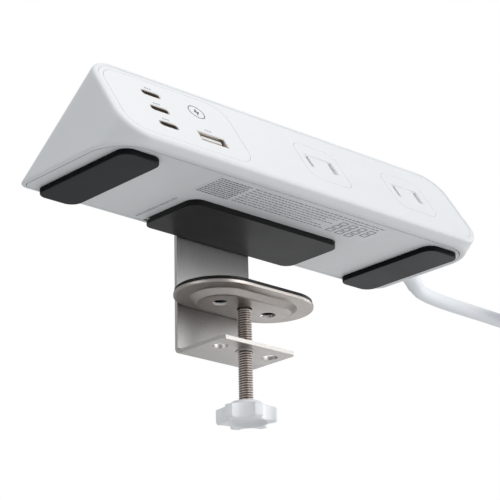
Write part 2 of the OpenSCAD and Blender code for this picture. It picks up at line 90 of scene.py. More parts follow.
# ------------------------------------------------------------------ material helpers
class Mat:
    """A node material with a few shorthand builders."""

    def __init__(self, name, rough=0.5, metallic=0.0, spec=0.5, coat=0.0, coat_rough=0.1, sheen=0.0):
        self.m = bpy.data.materials.new(name)
        self.m.use_nodes = True
        self.t = self.m.node_tree
        self.b = self.t.nodes["Principled BSDF"]
        self.b.inputs["Roughness"].default_value = rough
        self.b.inputs["Metallic"].default_value = metallic
        self.b.inputs["Specular IOR Level"].default_value = spec
        self.b.inputs["Coat Weight"].default_value = coat
        self.b.inputs["Coat Roughness"].default_value = coat_rough
        self.b.inputs["Sheen Weight"].default_value = sheen
        self.co = self.n("ShaderNodeTexCoord").outputs["Object"]

    def n(self, kind, **kw):
        node = self.t.nodes.new(kind)
        for k, v in kw.items():
            setattr(node, k, v)
        return node

    def link(self, a, b):
        self.t.links.new(a, b)

    def mapped(self, scale=(1, 1, 1), rot=(0, 0, 0)):
        mp = self.n("ShaderNodeMapping")
        mp.inputs["Scale"].default_value = scale
        mp.inputs["Rotation"].default_value = rot
        self.link(self.co, mp.inputs["Vector"])
        return mp.outputs["Vector"]

    def noise(self, scale, detail=3.0, rough=0.55, vec=None):
        nz = self.n("ShaderNodeTexNoise")
        nz.inputs["Scale"].default_value = scale
        nz.inputs["Detail"].default_value = detail
        nz.inputs["Roughness"].default_value = rough
        self.link(vec if vec is not None else self.co, nz.inputs["Vector"])
        return nz.outputs["Fac"]

    def ramp(self, fac, stops):
        r = self.n("ShaderNodeValToRGB")
        e = r.color_ramp.elements
        while len(e) < len(stops):
            e.new(0.5)
        for el, (p, c) in zip(e, stops):
            el.position = p
            el.color = (*c, 1.0) if len(c) == 3 else c
        self.link(fac, r.inputs["Fac"])
        return r.outputs["Color"]

    def span(self, fac, lo, hi):
        mr = self.n("ShaderNodeMapRange")
        mr.inputs["To Min"].default_value = lo
        mr.inputs["To Max"].default_value = hi
        self.link(fac, mr.inputs["Value"])
        return mr.outputs["Result"]

    def math(self, op, a, b=None, c=None):
        m = self.n("ShaderNodeMath", operation=op)
        for i, v in enumerate((a, b, c)):
            if v is None:
                continue
            if isinstance(v, (int, float)):
                m.inputs[i].default_value = v
            else:
                self.link(v, m.inputs[i])
        return m.outputs[0]

    def mix(self, fac, a, b):
        m = self.n("ShaderNodeMix", data_type="RGBA")
        if isinstance(fac, (int, float)):
            m.inputs["Factor"].default_value = fac
        else:
            self.link(fac, m.inputs["Factor"])
        for key, v in (("A", a), ("B", b)):
            sock = [s for s in m.inputs if s.name == key and s.type == "RGBA"][0]
            if isinstance(v, tuple):
                sock.default_value = (*v, 1.0)
            else:
                self.link(v, sock)
        return [s for s in m.outputs if s.type == "RGBA"][0]

    def color(self, sock):
        self.link(sock, self.b.inputs["Base Color"])

    def roughness(self, sock):
        self.link(sock, self.b.inputs["Roughness"])

    def bump(self, heights, strength=0.2, distance=0.00005):
        prev = None
        for h, s, d in heights:
            bp = self.n("ShaderNodeBump")
            bp.inputs["Strength"].default_value = s
            bp.inputs["Distance"].default_value = d
            self.link(h, bp.inputs["Height"])
            if prev is not None:
                self.link(prev, bp.inputs["Normal"])
            prev = bp.outputs["Normal"]
        self.link(prev, self.b.inputs["Normal"])

    def edge(self):
        """Near 1 on convex edges, for wear and soiling."""
        g = self.n("ShaderNodeNewGeometry")
        return self.ramp(g.outputs["Pointiness"], [(0.49, (0, 0, 0)), (0.56, (1, 1, 1))])


def plastic(name, base, tint, rough, grain=2600.0, bump=0.10, coat=0.0, spec=0.45, sss=0.0):
    """Moulded plastic: fine spark-eroded grain, faint flow and tone variation."""
    m = Mat(name, rough=rough, spec=spec, coat=coat, coat_rough=0.25)
    big = m.noise(14.0, 2.0)
    mid = m.noise(90.0, 3.0)
    m.color(m.mix(m.math("MULTIPLY", big, 0.55), m.ramp(mid, [(0.3, base), (0.75, tuple(min(1.0, c * 1.02) for c in base))]), tint))
    fine = m.noise(grain, 2.0, 0.6)
    m.roughness(m.math("ADD", m.span(mid, rough - 0.05, rough + 0.05), m.math("MULTIPLY", fine, 0.03)))
    m.bump([(fine, bump, 0.00004), (m.noise(300.0, 2.0), bump * 0.4, 0.00005)])
    if sss:
        m.b.inputs["Subsurface Weight"].default_value = sss
        m.b.inputs["Subsurface Radius"].default_value = (0.0016, 0.0015, 0.0014)
        m.b.inputs["Subsurface Scale"].default_value = 1.0
    return m.m


def rubber(name, base, high, rough, spec=0.42):
    """Matte elastomer: fine stipple with paler, drier dust in patches."""
    m = Mat(name, rough=rough, spec=spec)
    fine = m.noise(1500.0, 4.0, 0.7)
    patch = m.noise(38.0, 4.0, 0.6)
    col = m.mix(m.ramp(patch, [(0.35, (0, 0, 0)), (0.8, (0.55, 0.55, 0.55))]), base, high)
    col = m.mix(m.math("MULTIPLY", fine, 0.25), col, tuple(c * 1.8 for c in high))
    m.color(col)
    m.roughness(m.span(patch, rough - 0.06, rough + 0.07))
    m.bump([(fine, 0.22, 0.00005), (m.noise(420.0, 2.0), 0.10, 0.00008)])
    return m.m


def brushed(name, base, dark, rough, axis="x", streak=0.25, aniso=0.35):
    """Satin-plated sheet steel: grain lines along one axis and soft tarnish."""
    m = Mat(name, rough=rough, metallic=1.0)
    m.b.inputs["Anisotropic"].default_value = aniso
    sc = {"x": (18, 900, 900), "y": (900, 18, 900), "z": (900, 900, 18)}[axis]
    line = m.noise(1.0, 4.0, 0.65, m.mapped(sc))
    wide = m.noise(1.0, 2.0, 0.5, m.mapped(tuple(s * 0.28 for s in sc)))
    cloud = m.noise(26.0, 3.0)
    col = m.mix(m.span(line, 0.0, streak), base, dark)
    col = m.mix(m.ramp(cloud, [(0.45, (0, 0, 0)), (0.9, (0.22, 0.22, 0.22))]), col, dark)
    sand = m.noise(1150.0, 3.0, 0.7)
    col = m.mix(m.ramp(sand, [(0.35, (0.34, 0.34, 0.34)), (0.65, (0, 0, 0))]), col, dark)
    m.color(col)
    m.roughness(m.math("ADD", m.span(line, rough - 0.07, rough + 0.09), m.math("MULTIPLY", cloud, 0.06)))
    m.bump([(line, 0.06, 0.00003), (sand, 0.16, 0.00003), (wide, 0.04, 0.00005)])
    return m.m


MATS = {}


def mat(name):
    return MATS[name]


MATS["housing"] = plastic("housing_white_plastic", (0.80, 0.815, 0.825), (0.765, 0.785, 0.80), 0.42, grain=2400, bump=0.10, sss=0.05)
MATS["panel"] = plastic("panel_white_plastic", (0.83, 0.84, 0.85), (0.80, 0.815, 0.83), 0.36, grain=3000, bump=0.06, sss=0.05)
MATS["inner"] = plastic("inner_white_plastic", (0.86, 0.865, 0.86), (0.82, 0.825, 0.82), 0.45, grain=2000, bump=0.10, sss=0.05)
MATS["knob"] = plastic("knob_white_plastic", (0.925, 0.94, 0.955), (0.89, 0.91, 0.93), 0.36, grain=2200, bump=0.10, sss=0.05)
MATS["cord"] = plastic("cord_white_vinyl", (0.89, 0.91, 0.94), (0.85, 0.875, 0.91), 0.44, grain=1400, bump=0.14, sss=0.04)
MATS["foot"] = rubber("foot_black_rubber", (0.0036, 0.0038, 0.0055), (0.0075, 0.0080, 0.0120), 0.40, 0.20)
# a darker, duller copy of the foot rubber for the feet's sides: painted shade
MATS["feet_sides_painted_shade"] = rubber("feet_sides_black_rubber_painted_shade", (0.0030, 0.0032, 0.0040), (0.006, 0.0063, 0.008), 0.62, 0.08)
MATS["pad"] = rubber("pad_black_rubber", (0.0040, 0.0038, 0.0040), (0.0085, 0.0082, 0.0086), 0.36, 0.20)
MATS["steel_x"] = brushed("bracket_satin_steel", (0.66, 0.635, 0.61), (0.42, 0.395, 0.375), 0.34, "x", 0.30, 0.2)
# a darker copy of the bracket steel for its back plate, grained along z: the grain is texture, the darker colour is
# painted shade
MATS["steel_back_painted_shade"] = brushed("back_plate_steel_painted_shade", (0.56, 0.55, 0.545), (0.34, 0.335, 0.335), 0.36, "z", 0.18, 0.1)
MATS["steel_p"] = brushed("pressing_satin_steel", (0.56, 0.52, 0.49), (0.33, 0.30, 0.28), 0.30, "x", 0.32, 0.2)
MATS["bright"] = brushed("bright_pressed_steel", (0.72, 0.71, 0.70), (0.50, 0.49, 0.48), 0.24, "z", 0.3, 0.2)
MATS["port"] = brushed("port_shell_steel", (0.62, 0.56, 0.51), (0.36, 0.31, 0.27), 0.34, "x", 0.35, 0.1)
MATS["gold"] = brushed("plated_contact", (0.82, 0.66, 0.36), (0.55, 0.40, 0.20), 0.28, "x", 0.3, 0.1)


def thread_material():
    """Thread steel: brown-black in the roots as painted shade, bright on the crests as a painted highlight."""
    m = Mat("thread_steel_painted_shade_and_highlight", rough=0.34, metallic=1.0)
    g = m.n("ShaderNodeNewGeometry")
    # painted highlight and shade: a pointiness mask, bright on the crests and dark in the roots
    crest = m.ramp(g.outputs["Pointiness"], [(0.46, (0, 0, 0)), (0.54, (1, 1, 1))])
    fleck = m.noise(700.0, 3.0)
    col = m.mix(crest, m.ramp(fleck, [(0.3, (0.10, 0.080, 0.071)), (0.7, (0.17, 0.14, 0.125))]), (0.74, 0.67, 0.63))
    m.color(col)
    m.roughness(m.span(fleck, 0.26, 0.42))
    m.bump([(fleck, 0.15, 0.00003)])
    return m.m


def board_material():
    m = Mat("circuit_board_green", rough=0.35, spec=0.5, coat=0.3)
    grid = m.n("ShaderNodeTexBrick")
    grid.inputs["Scale"].default_value = 260.0
    grid.inputs["Color1"].default_value = (0.015, 0.11, 0.045, 1)
    grid.inputs["Color2"].default_value = (0.02, 0.15, 0.06, 1)
    grid.inputs["Mortar"].default_value = (0.05, 0.22, 0.10, 1)
    grid.inputs["Mortar Size"].default_value = 0.01
    m.link(m.co, grid.inputs["Vector"])
    m.color(grid.outputs["Color"])
    m.bump([(m.noise(900.0, 2.0), 0.1, 0.00004)])
    return m.m


def tape_material():
    m = Mat("transformer_yellow_tape", rough=0.4)
    m.color(m.ramp(m.noise(120.0, 3.0), [(0.3, (0.50, 0.33, 0.03)), (0.8, (0.62, 0.44, 0.06))]))
    m.bump([(m.noise(600.0, 2.0), 0.1, 0.0001)])
    return m.m


def sleeve_material():
    m = Mat("capacitor_dark_sleeve", rough=0.25, coat=0.4)
    m.color(m.ramp(m.noise(60.0, 2.0), [(0.3, (0.012, 0.016, 0.035)), (0.8, (0.03, 0.035, 0.06))]))
    m.bump([(m.noise(400.0, 2.0), 0.06, 0.0001)])
    return m.m


def lead_material():
    m = Mat("lead_insulation_grey", rough=0.45)
    m.color(m.ramp(m.noise(80.0, 3.0), [(0.3, (0.05, 0.05, 0.052)), (0.8, (0.09, 0.09, 0.095))]))
    m.bump([(m.noise(900.0, 2.0), 0.12, 0.00005)])
    return m.m


def film_material():
    """Pale silver-grey label film with a faint satin grain."""
    m = Mat("label_pale_film", rough=0.4, spec=0.4)
    m.color(m.ramp(m.noise(55.0, 3.0), [(0.3, (0.78, 0.785, 0.805)), (0.8, (0.84, 0.845, 0.865))]))
    m.roughness(m.span(m.noise(300.0, 3.0), 0.32, 0.5))
    m.bump([(m.noise(1500.0, 2.0), 0.05, 0.00003)])
    return m.m


def ink_material(name, a, b):
    m = Mat(name, rough=0.5, spec=0.3)
    m.color(m.ramp(m.noise(900.0, 3.0), [(0.3, a), (0.8, b)]))
    m.bump([(m.noise(2200.0, 2.0), 0.08, 0.00002)])
    return m.m


def strap_material():
    """Hook-and-loop strap: a fine woven ground."""
    m = Mat("tie_black_weave", rough=0.8, sheen=0.35)
    w1 = m.n("ShaderNodeTexWave", bands_direction="X")
    w1.inputs["Scale"].default_value = 420.0
    w2 = m.n("ShaderNodeTexWave", bands_direction="Y")
    w2.inputs["Scale"].default_value = 420.0
    for w in (w1, w2):
        m.link(m.co, w.inputs["Vector"])
    weave = m.math("MULTIPLY", w1.outputs["Fac"], w2.outputs["Fac"])
    m.color(m.ramp(weave, [(0.1, (0.010, 0.010, 0.012)), (0.8, (0.034, 0.034, 0.038))]))
    m.bump([(weave, 0.5, 0.0002), (m.noise(1800.0, 3.0), 0.3, 0.0001)])
    return m.m


MATS["thread"] = thread_material()
MATS["board"] = board_material()
MATS["tape"] = tape_material()
MATS["sleeve"] = sleeve_material()
MATS["lead"] = lead_material()
MATS["film"] = film_material()
MATS["ink"] = ink_material("mark_grey_ink", (0.10, 0.105, 0.125), (0.17, 0.175, 0.20))
MATS["ink_pale"] = ink_material("mark_pale_ink", (0.40, 0.41, 0.45), (0.50, 0.51, 0.55))
MATS["strap"] = strap_material()
MATS["tongue"] = plastic("tongue_pale_plastic", (0.84, 0.84, 0.83), (0.78, 0.78, 0.77), 0.45, grain=2000, bump=0.08)
MATS["port_black"] = plastic("port_black_plastic", (0.012, 0.012, 0.013), (0.02, 0.02, 0.022), 0.4)


# ------------------------------------------------------------------ mesh helpers
def finish_mesh(name, bm, material, body="strip", sharp=32.0, replaces=()):
    bmesh.ops.recalc_face_normals(bm, faces=bm.faces[:])
    lim = math.radians(sharp)
    for f in bm.faces:
        f.smooth = True
    for e in bm.edges:
        e.smooth = not (len(e.link_faces) == 2 and e.calc_face_angle(0.0) > lim)
    me = bpy.data.meshes.new(name)
    bm.to_mesh(me)
    bm.free()
    me.materials.append(material)
    o = bpy.data.objects.new(name, me)
    scene.collection.objects.link(o)
    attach(o, body)
    if replaces:
        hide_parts(*replaces)
    return o


def from_cad(node, name, material, width=0.25, segments=3, angle=30.0, body=None, sharp=34.0, keep=None):
    """A copy of a CAD node's mesh with rolled edges, standing for that node."""
    src = NODES[node]
    bm = bmesh.new()
    bm.from_mesh(src.data)
    bmesh.ops.remove_doubles(bm, verts=bm.verts[:], dist=2e-6)
    bmesh.ops.dissolve_limit(bm, angle_limit=math.radians(0.6), verts=bm.verts[:], edges=bm.edges[:])
    if width:
        lim = math.radians(angle)
        edges = [e for e in bm.edges if len(e.link_faces) == 2 and e.calc_face_angle(0.0) > lim and (keep is None or keep(e))]
        bmesh.ops.bevel(bm, geom=edges, offset=width * MM, offset_type="OFFSET", segments=segments, profile=0.5, affect="EDGES", clamp_overlap=True)
        bmesh.ops.remove_doubles(bm, verts=bm.verts[:], dist=1e-6)
    bodyname = body or src["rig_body"]
    o = finish_mesh(name, bm, material, bodyname, sharp, (node,))
    wn = o.modifiers.new("weighted", "WEIGHTED_NORMAL")
    wn.keep_sharp = True
    wn.weight = 60
    return o


SLOTS = {s["node"]: s["material_slot"] for s in frame["record"]["subparts"]}


def rounded_outline(x0, y0, x1, y1, ra, rb, n_arc=14, n_side=6):
    """Points round a rectangle with front and back corner radii, anticlockwise, with inward normals."""
    pts = []
    corners = [(x1 - ra, y0 + ra, ra, -90), (x1 - rb, y1 - rb, rb, 0), (x0 + rb, y1 - rb, rb, 90), (x0 + ra, y0 + ra, ra, 180)]
    for ci, (cx, cy, r, a0) in enumerate(corners):
        for k in range(n_arc + 1):
            a = math.radians(a0 + 90.0 * k / n_arc)
            pts.append((cx + r * math.cos(a), cy + r * math.sin(a), -math.cos(a), -math.sin(a)))
        nx = corners[(ci + 1) % 4]
        a = math.radians(nx[3])
        end = (nx[0] + nx[2] * math.cos(a), nx[1] + nx[2] * math.sin(a))
        last = pts[-1]
        for k in range(1, n_side):
            t = k / n_side
            pts.append((last[0] + (end[0] - last[0]) * t, last[1] + (end[1] - last[1]) * t, last[2], last[3]))
    return pts


TILT = math.radians(57.05)
PY0, PZ0 = -45.7, 4.8
PANEL_W, PANEL_H, PANEL_R, RIM = 194.5, 46.1, 13.0, 2.4
BASE_W, BASE_F, BASE_B, BASE_Z = 198.0, -41.7, 19.3, 2.4


def panel_pt(x, v, n):
    """A point given along the sloped face, up it and out of it, in metres in the frame."""
    return Vector((x, PY0 + math.cos(TILT) * v - math.sin(TILT) * n, PZ0 + math.sin(TILT) * v + math.cos(TILT) * n)) * MM


def bridge(bm, rows, close_rows=False, flip=False):
    """Quads between successive closed rings of vertices."""
    m = len(rows)
    for i in range(m if close_rows else m - 1):
        a, b = rows[i], rows[(i + 1) % m]
        n = len(a)
        for k in range(n):
            q = (a[k], a[(k + 1) % n], b[(k + 1) % n], b[k])
            if len(set(q)) > 2:
                try:
                    bm.faces.new(q)
                except ValueError:
                    pass


# ------------------------------------------------------------------ the cord
def bent(a, b, c, d, t):
    return 0.5 * (2 * b + (c - a) * t + (2 * a - 5 * b + 4 * c - d) * t * t + (3 * b - a - 3 * c + d) * t ** 3)


def smooth_path(P, k):
    P = [np.array(p, float) for p in P]
    out = []
    for i in range(len(P) - 1):
        for j in range(k):
            out.append(bent(P[max(i - 1, 0)], P[i], P[i + 1], P[min(i + 2, len(P) - 1)], j / k))
    out.append(P[-1])
    return out


EXIT_P = np.array((98.0, 2.0, 7.5))
EXIT_D = np.array((20.0, 10.0, -7.0)) / np.linalg.norm((20.0, 10.0, -7.0))
BOOT_END = EXIT_P + np.array((2.6, 0, 0)) + 12.5 * EXIT_D
COIL_C = np.array((205.0, -30.6))
R_IN, R_OUT = 24.4, 47.0
CORD_D = 6.4


def cord_points():
    route = [BOOT_END - 3.0 * EXIT_D, (112.3, 7.9, 3.75), (116.8, 9.9, 3.3), (121.4, 11.2, 3.2), (128, 12.6, 3.2), (138, 13.7, 3.2), (153, 14.4, 3.2), (168, 14.9, 3.2), (180, 15.6, 3.2), (192, 16.2, 3.2), (205, 16.4, 3.2)]
    pts = smooth_path(route, 4)
    pitch = (R_OUT - R_IN) / 3.5
    steps = 22

    def at(turn):
        # turn counts from the top of the outermost turn, clockwise seen from above
        if turn <= 3.5:
            r, z = R_OUT - pitch * turn, 3.2
        elif turn <= 3.85:
            f = (turn - 3.5) / 0.35
            s = f * f * (3 - 2 * f)
            r, z = R_IN, 3.2 + 6.4 * s
        else:
            r, z = R_IN + pitch * (turn - 3.85), 9.6
        a = math.radians(90 - 360 * turn)
        return np.array((COIL_C[0] + r * math.cos(a), COIL_C[1] + r * math.sin(a), z))

    n = int(7.5 * steps)
    for k in range(1, n + 1):
        pts.append(at(7.5 * k / n))
    pts += smooth_path([(205, -77.6, 9.6), (197, -78.2, 9.2), (189, -78.8, 8.0), (181, -79, 7.0), (173, -79, 6.8)], 3)[1:]
    pts.append(np.array((167.0, -79.0, 6.8)))
    return [Vector(p * MM) for p in pts]


def tube(name, pts, radius, material, sides=20, body="strip", cap=True):
    """A round tube swept along points with frames carried along, so it doesn't twist."""
    bm = bmesh.new()
    rows = []
    t_prev = (pts[1] - pts[0]).normalized()
    ref = Vector((0, 0, 1)) if abs(t_prev.z) < 0.9 else Vector((1, 0, 0))
    side = t_prev.cross(ref).normalized()
    for i, p in enumerate(pts):
        t = (pts[min(i + 1, len(pts) - 1)] - pts[max(i - 1, 0)]).normalized()
        side = (side - t * side.dot(t)).normalized()
        up = side.cross(t)
        r = radius(i) if callable(radius) else radius
        rows.append([bm.verts.new(p + side * (r * math.cos(2 * math.pi * k / sides)) + up * (r * math.sin(2 * math.pi * k / sides))) for k in range(sides)])
    bridge(bm, rows)
    if cap:
        bm.faces.new(rows[0])
        bm.faces.new(rows[-1])
    return finish_mesh(name, bm, material, body, 50.0)


cord_path = cord_points()


cord = tube("mains_cord", cord_path, 3.2 * MM, mat("cord"), 22)
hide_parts("power_cord", "cord_coil")


# ------------------------------------------------------------------ plug
def superbox(bm, x0, x1, prof, n=40):
    """Rings along X; prof is a list of (x, half_y, half_z, exponent)."""
    rows = []
    for x, hy, hz, e in prof:
        row = []
        for k in range(n):
            a = 2 * math.pi * k / n
            c, s = math.cos(a), math.sin(a)
            row.append(bm.verts.new(Vector((x - 9.0, -79.0 + hy * math.copysign(abs(c) ** (2 / e), c), 6.8 + hz * math.copysign(abs(s) ** (2 / e), s))) * MM))
        rows.append(row)
    bridge(bm, rows)
    bm.faces.new(rows[0])
    bm.faces.new(rows[-1])


def make_plug():
    bm = bmesh.new()
    prof = [(138.0, 9.2, 4.6, 5), (138.2, 10.2, 5.4, 5), (138.9, 10.9, 5.9, 5), (140.2, 11.3, 6.1, 5), (143.0, 11.5, 6.3, 5), (147.0, 11.4, 6.5, 4.5),
            (149.5, 10.7, 6.4, 4.2), (150.6, 9.9, 6.2, 4), (151.4, 9.9, 6.2, 4), (152.2, 10.5, 6.3, 4), (153.0, 9.8, 6.2, 4), (153.8, 9.7, 6.15, 4),
            (154.6, 10.2, 6.2, 4), (155.4, 9.5, 6.05, 4), (156.2, 9.2, 5.95, 3.6), (157.0, 9.4, 5.9, 3.4), (158.2, 8.6, 5.7, 3.2), (159.4, 7.4, 5.5, 2.8), (160.4, 6.2, 5.3, 2.4), (161.2, 5.2, 5.05, 2)]
    x = 161.2
    r = 5.0
    # ribbed sleeve
    for k in range(6):
        r0 = 5.0 - 0.22 * k
        prof += [(x + 0.5, r0, r0, 2), (x + 2.0, r0 - 0.06, r0 - 0.06, 2), (x + 2.3, r0 - 0.75, r0 - 0.75, 2), (x + 2.9, r0 - 0.78, r0 - 0.78, 2)]
        x += 3.1
    prof += [(x + 0.4, 3.75, 3.75, 2), (181.6, 3.55, 3.55, 2), (182.0, 3.4, 3.4, 2)]
    superbox(bm, 0, 0, prof)
    return finish_mesh("plug_moulding", bm, mat("cord"), "strip", 40.0, ("plug_body",))


plug = make_plug()
blades = from_cad("plug_blades", "plug_blades_rounded", mat("gold"), 0.22, 2)


# ------------------------------------------------------------------ coil tie
def make_tie():
    """A woven strap folded round the coil's cross-section, with an overlapping end."""
    bm = bmesh.new()
    cx, cz = COIL_C[0] + (R_IN + R_OUT) / 2, 6.4
    hw, hz = (R_OUT - R_IN) / 2 + 3.2 + 0.5, 6.4 + 0.45
    n = 44

    def ring(off):
        pts = []
        for k in range(n + 1):
            a = math.radians(-100 + 380 * k / n)
            c, s = math.cos(a), math.sin(a)
            e = 5.0
            lift = 0.75 if k > n * 0.93 else 0.0
            pts.append((cx + (hw + off + lift) * math.copysign(abs(c) ** (2 / e), c), max(cz + (hz + off) * math.copysign(abs(s) ** (2 / e), s), 0.02 + off * 0.2)))
        return pts

    inner, outer = ring(0.0), ring(0.6)
    rows = []
    for y in (-4.9, -4.7, 4.7, 4.9):
        k = 0.12 if abs(y) > 4.8 else 0.0
        rows.append([bm.verts.new(Vector((x, COIL_C[1] + y, z)) * MM) for x, z in ring(k)] + [bm.verts.new(Vector((x, COIL_C[1] + y, z)) * MM) for x, z in reversed(ring(0.6 - k))])
    bridge(bm, rows)
    m = len(rows[0])
    for row in (rows[0], rows[-1]):
        for k in range(m // 2 - 1):
            bm.faces.new((row[k], row[k + 1], row[m - 2 - k], row[m - 1 - k]))
    return finish_mesh("coil_strap", bm, mat("strap"), "strip", 45.0, ("cord_tie",))


tie = make_tie()


# ------------------------------------------------------------------ housing shell
def make_housing():
    panel = rounded_outline(-PANEL_W / 2, 0, PANEL_W / 2, PANEL_H, PANEL_R, PANEL_R, 18, 10)
    base = rounded_outline(-BASE_W / 2, BASE_F, BASE_W / 2, BASE_B, 17.0, 5.0, 18, 10)
    bm = bmesh.new()
    rows = None

    def P(i, inset, depth):
        x, v, nx, nv = panel[i]
        return panel_pt(x + nx * inset, v + nv * inset, -depth)

    def B(i, inset, up):
        x, y, nx, ny = base[i]
        return Vector((x + nx * inset, y + ny * inset, BASE_Z + up)) * MM

    cols = []
    for i in range(len(panel)):
        p, b = P(i, 0, 0), B(i, 0, 0)
        wall = (b - p).normalized()
        span = (b - p).length
        face_in = (P(i, 1, 0) - p).normalized()
        base_in = (B(i, 1, 0) - b).normalized()
        r1, r2 = min(1.6 * MM, span * 0.3), min(1.25 * MM, span * 0.3)
        col = [P(i, RIM + 0.09, 0.9), P(i, RIM + 0.09, 0.40), P(i, RIM - 0.01, 0.32), P(i, RIM - 0.08, 0.13), P(i, RIM - 0.20, 0.04), P(i, RIM - 0.40, 0.01)]
        for t in (0.0, 0.12, 0.25, 0.38, 0.5, 0.62, 0.75, 0.88, 1.0):
            a, c = p + face_in * r1, p + wall * r1
            col.append(a * (1 - t) ** 2 + p * 2 * t * (1 - t) + c * t * t)
        for t in (0.10, 0.25, 0.4, 0.55, 0.7, 0.85, 0.93):
            a, c = p + wall * r1, b - wall * r2
            col.append(a.lerp(c, t))
        for t in (0.0, 0.2, 0.4, 0.6, 0.8, 1.0):
            a, c = b - wall * r2, b + base_in * r2
            col.append(a * (1 - t) ** 2 + b * 2 * t * (1 - t) + c * t * t)
        col += [B(i, 1.75, 0.0), B(i, 1.98, 0.05), B(i, 2.1, 0.2), B(i, 2.1, 0.8)]
        # inside: up to the ledge and out to the rim again
        col += [P(i, 4.4, 3.6), P(i, 4.4, 2.1), P(i, 2.45, 2.05)]
        cols.append(col)
    n = len(cols[0])
    rows = [[bm.verts.new(cols[i][j]) for i in range(len(cols))] for j in range(n)]
    bridge(bm, rows, close_rows=True)
    return finish_mesh("housing_shell", bm, mat("housing"), "strip", 38.0, ("upper_housing",))


housing = make_housing()


# ------------------------------------------------------------------ panels on the sloped face
def sink(o, depth):
    """Moves a new piece's mesh into the face by a depth in mm."""
    n = (panel_pt(0, 0, 1) - panel_pt(0, 0, 0)).normalized()
    o.data.transform(Matrix.Translation(-n * depth * MM))
    return o


cover = from_cad("bottom_cover", "bottom_cover_shell", mat("housing"), 0.22, 2)
face = from_cad("face_panel", "face_panel_shell", mat("panel"), 0.18, 3)
usb_face = from_cad("usb_panel", "usb_panel_shell", mat("panel"), 0.12, 2)
out_l = from_cad("outlet_face_left", "outlet_face_left_shell", mat("panel"), 0.07, 2)
out_r = from_cad("outlet_face_right", "outlet_face_right_shell", mat("panel"), 0.07, 2)
from_cad("shutter_left", "shutter_left_plate", mat("inner"), 0.15, 2)
from_cad("shutter_right", "shutter_right_plate", mat("inner"), 0.15, 2)
from_cad("live_busbar", "live_busbar_strip", mat("gold"), 0.08, 1)
from_cad("neutral_busbar", "neutral_busbar_strip", mat("gold"), 0.08, 1)
from_cad("contact_holder", "contact_holder_frame", mat("inner"), 0.2, 2)
from_cad("usb_board", "usb_board_plate", mat("board"), 0.1, 1)
from_cad("charger_board", "charger_board_plate", mat("board"), 0.1, 1)
from_cad("transformer", "transformer_core", mat("tape"), 0.4, 2)
from_cad("capacitors", "capacitor_cans", mat("sleeve"), 0.5, 3)
from_cad("board_screws", "board_screw_set", mat("bright"), 0.15, 2)
from_cad("usb_c_receptacles", "usb_c_shells", mat("port"), 0.06, 1)
sink(from_cad("usb_c_tongues", "usb_c_tongue_set", mat("port_black"), 0.08, 1), 0.9)
from_cad("usb_a_receptacle", "usb_a_shell", mat("port"), 0.08, 1)
sink(from_cad("usb_a_tongue", "usb_a_tongue_plate", mat("tongue"), 0.15, 2), 0.3)
from_cad("internal_leads", "internal_lead_set", mat("lead"), 0.0)
from_cad("cord_clamp", "cord_clamp_block", mat("inner"), 0.3, 2)
from_cad("cord_clamp_screws", "cord_clamp_screw_set", mat("bright"), 0.12, 2)
for foot_name in ("foot_left", "foot_right"):
    foot = from_cad(foot_name, foot_name + "_rubber", mat("foot"), 0.45, 4)
    # the sides take the darker copy: painted shade on the same rubber
    foot.data.materials.append(mat("feet_sides_painted_shade"))
    for poly in foot.data.polygons:
        if abs(poly.normal.z) < 0.55:
            poly.material_index = 1
from_cad("housing_screws", "housing_screw_set", mat("bright"), 0.15, 2)
from_cad("bracket_screws", "bracket_screw_set", mat("bright"), 0.12, 2)
from_cad("bracket_pad", "bracket_pad_rubber", mat("pad"), 0.22, 3)
from_cad("pressure_pad", "pressure_pad_rubber", mat("pad"), 0.35, 3)
from_cad("retaining_washer", "retaining_washer_disc", mat("bright"), 0.15, 2)


# ------------------------------------------------------------------ clamp bracket
bracket = from_cad("clamp_bracket", "clamp_bracket_sheet", mat("steel_x"), 0.28, 3)
# the back plate's faces take the darker copy of the same sheet's steel: painted shade
bracket.data.materials.append(mat("steel_back_painted_shade"))
for poly in bracket.data.polygons:
    c = poly.center
    if c.y > 0.0179 and -0.0478 < c.z < 0.0008:
        poly.material_index = 1


# ------------------------------------------------------------------ pressure plate
def stadium_ring(half, r, n_arc=24, n_side=10):
    pts = []
    for k in range(n_arc + 1):
        a = math.radians(-90 + 180 * k / n_arc)
        pts.append((half + r * math.cos(a), r * math.sin(a)))
    for k in range(1, n_side):
        pts.append((half - 2 * half * k / n_side, r))
    for k in range(n_arc + 1):
        a = math.radians(90 + 180 * k / n_arc)
        pts.append((-half + r * math.cos(a), r * math.sin(a)))
    for k in range(1, n_side):
        pts.append((-half + 2 * half * k / n_side, -r))
    return pts


